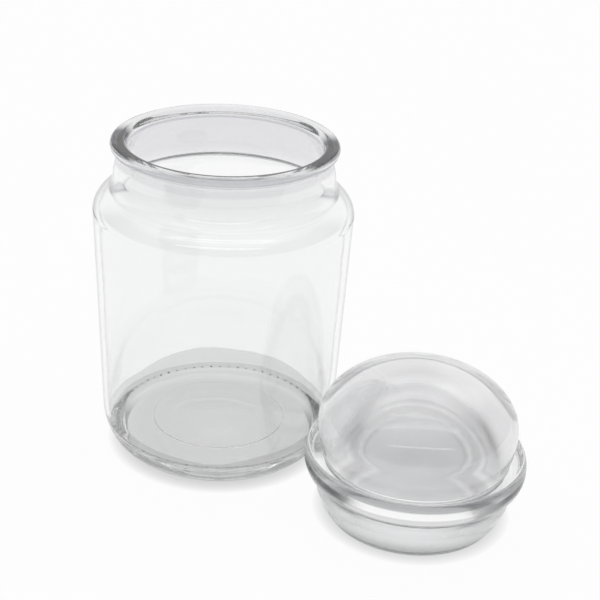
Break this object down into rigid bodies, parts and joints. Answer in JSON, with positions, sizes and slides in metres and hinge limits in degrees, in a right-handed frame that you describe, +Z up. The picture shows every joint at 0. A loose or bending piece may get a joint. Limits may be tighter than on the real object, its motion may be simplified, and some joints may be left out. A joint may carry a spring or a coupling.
{
  "type": "glass jar",
  "caption": "Clear glass storage jar with a rounded heel, shoulder and beaded rim, and its thick domed glass lid with a soft seal ring, standing beside it.",
  "frame": {"origin": "on the table, at the middle of the ground that the jar and the lid take up together", "axes": "+Z up; +X from the jar towards the lid, which stands to the jar's right and in front of it; the picture's camera looks roughly along +Y"},
  "size_m": [0.1806, 0.1495, 0.137],
  "materials": {
    "jar_glass": "clear, polished",
    "lid_glass": "clear, polished",
    "seal_plastic": "clear soft plastic, slightly hazy"
  },
  "bodies": {
    "jar": {"jar_body": "jar_glass"},
    "lid": {"lid_glass": "lid_glass", "lid_seal": "seal_plastic"}
  },
  "joints": [
    {"name": "lid_lift", "type": "slide", "parent": "jar", "child": "lid", "axis": [0.0845, -0.0526, 0.995], "range_m": [0, 0.15]}
  ]
}
